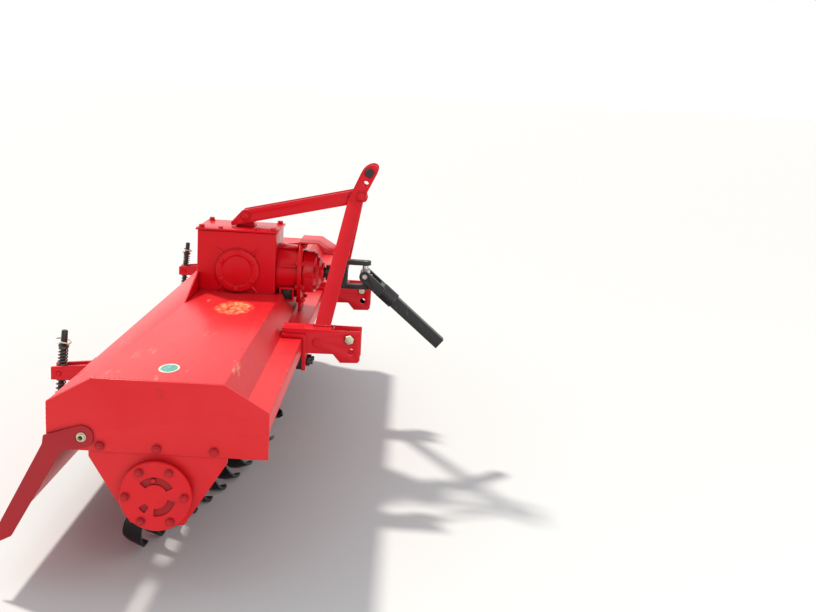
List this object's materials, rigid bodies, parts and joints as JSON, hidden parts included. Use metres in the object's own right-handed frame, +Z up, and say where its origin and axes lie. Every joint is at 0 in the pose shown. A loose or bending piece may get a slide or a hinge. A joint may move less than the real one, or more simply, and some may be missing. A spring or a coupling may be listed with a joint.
{
  "type": "rotary tiller",
  "caption": "Tractor-mounted rotary tiller: folded hood over a bladed rotor, central gearbox, A-frame hitch mast, hinged trailing board on sprung rods and a jointed input shaft.",
  "frame": {"origin": "on the ground at the middle of the machine's bounding box", "axes": "+X to the machine's right along the rotor, +Y forward to the tractor, +Z up"},
  "size_m": [2.36, 1.0834, 0.9545],
  "materials": {
    "red_paint": "glossy red enamel over sheet steel, dusty and scuffed",
    "deep_red_casting": "deep red enamel over cast iron",
    "black_paint": "satin black paint, worn",
    "black_steel": "black dipped forged steel",
    "zinc_plate": "yellowish zinc plate",
    "bare_steel": "bare machined steel",
    "spring_steel": "dark oiled spring steel"
  },
  "bodies": {
    "frame": {"hood": "red_paint", "end_plate_right": "red_paint", "end_plate_left": "red_paint", "bearing_plate_right": "red_paint", "bearing_plate_left": "red_paint", "bearing_cover_right": "red_paint", "bearing_cover_left": "red_paint", "front_beam": "red_paint", "gearbox_case": "deep_red_casting", "gearbox_lid": "deep_red_casting", "gearbox_side_cover_right": "deep_red_casting", "gearbox_side_cover_left": "deep_red_casting", "gearbox_gusset_right": "deep_red_casting", "gearbox_gusset_left": "deep_red_casting", "lower_gear_case": "deep_red_casting", "centre_share": "black_steel", "input_bell": "deep_red_casting", "input_nose": "deep_red_casting", "pto_shield": "red_paint", "hitch_bracket_right": "red_paint", "hitch_bracket_left": "red_paint", "hitch_clamp_right": "black_paint", "hitch_clamp_left": "black_paint", "hitch_pin_right": "zinc_plate", "hitch_pin_left": "zinc_plate", "mast_leg_right": "red_paint", "mast_leg_left": "red_paint", "top_link_pin": "black_paint", "brace_right": "red_paint", "brace_left": "red_paint", "brace_front_bolt": "red_paint", "brace_lug": "deep_red_casting", "spring_bracket_right": "red_paint", "spring_bracket_left": "red_paint"},
    "rotor": {"rotor_tube_right": "black_steel", "rotor_tube_left": "black_steel", "blade_gang_right_1": "black_steel", "blade_gang_right_2": "black_steel", "blade_gang_right_3": "black_steel", "blade_gang_right_4": "black_steel", "blade_gang_right_5": "black_steel", "blade_gang_left_1": "black_steel", "blade_gang_left_2": "black_steel", "blade_gang_left_3": "black_steel", "blade_gang_left_4": "black_steel", "blade_gang_left_5": "black_steel"},
    "input": {"input_yoke": "black_paint"},
    "cross": {"universal_cross": "bare_steel"},
    "drive_half": {"drive_shaft": "black_paint"},
    "board": {"trailing_board": "red_paint", "board_arm_right": "red_paint", "board_arm_left": "red_paint"},
    "collar_right": {"spring_collar_right": "red_paint"},
    "collar_left": {"spring_collar_left": "red_paint"},
    "rod_right": {"spring_rod_right": "black_paint", "lower_spring_right": "spring_steel"},
    "rod_left": {"spring_rod_left": "black_paint", "lower_spring_left": "spring_steel"}
  },
  "joints": [
    {"name": "rotor_spin", "type": "hinge", "parent": "frame", "child": "rotor", "pos_m": [0, -0.14692, 0.25469], "axis": [-1, 0, 0], "continuous": true},
    {"name": "input_spin", "type": "hinge", "parent": "frame", "child": "input", "pos_m": [0, 0.26908, 0.58869], "axis": [0, 1, 0], "continuous": true},
    {"name": "cross_swing", "type": "hinge", "parent": "input", "child": "cross", "pos_m": [0, 0.26908, 0.58869], "axis": [0, 0, 1], "range_deg": [-20, 20]},
    {"name": "shaft_tilt", "type": "hinge", "parent": "cross", "child": "drive_half", "pos_m": [0, 0.26908, 0.58869], "axis": [1, 0, 0], "range_deg": [0, 80]},
    {"name": "board_swing", "type": "hinge", "parent": "frame", "child": "board", "pos_m": [0, -0.31892, 0.38569], "axis": [-1, 0, 0], "range_deg": [0, 24]},
    {"name": "collar_swing_right", "type": "hinge", "parent": "frame", "child": "collar_right", "pos_m": [0.78, -0.48692, 0.42669], "axis": [-1, 0, 0], "range_deg": [0, 26]},
    {"name": "rod_slide_right", "type": "slide", "parent": "collar_right", "child": "rod_right", "axis": [0, 0.0788, 0.9969], "range_m": [0, 0.073], "deforming": ["lower_spring_right"]},
    {"name": "collar_swing_left", "type": "hinge", "parent": "frame", "child": "collar_left", "pos_m": [-0.78, -0.48692, 0.42669], "axis": [-1, 0, 0], "range_deg": [0, 26]},
    {"name": "rod_slide_left", "type": "slide", "parent": "collar_left", "child": "rod_left", "axis": [0, 0.0788, 0.9969], "range_m": [0, 0.073], "deforming": ["lower_spring_left"]}
  ],
  "couplings": [
    {"joint": "input_spin", "follows": "rotor_spin", "ratio": 2.4},
    {"joint": "collar_swing_right", "follows": "board_swing", "ratio": 1.0795},
    {"joint": "rod_slide_right", "follows": "board_swing", "m_per_rad": 0.17132},
    {"joint": "collar_swing_left", "follows": "board_swing", "ratio": 1.0795},
    {"joint": "rod_slide_left", "follows": "board_swing", "m_per_rad": 0.17132}
  ]
}
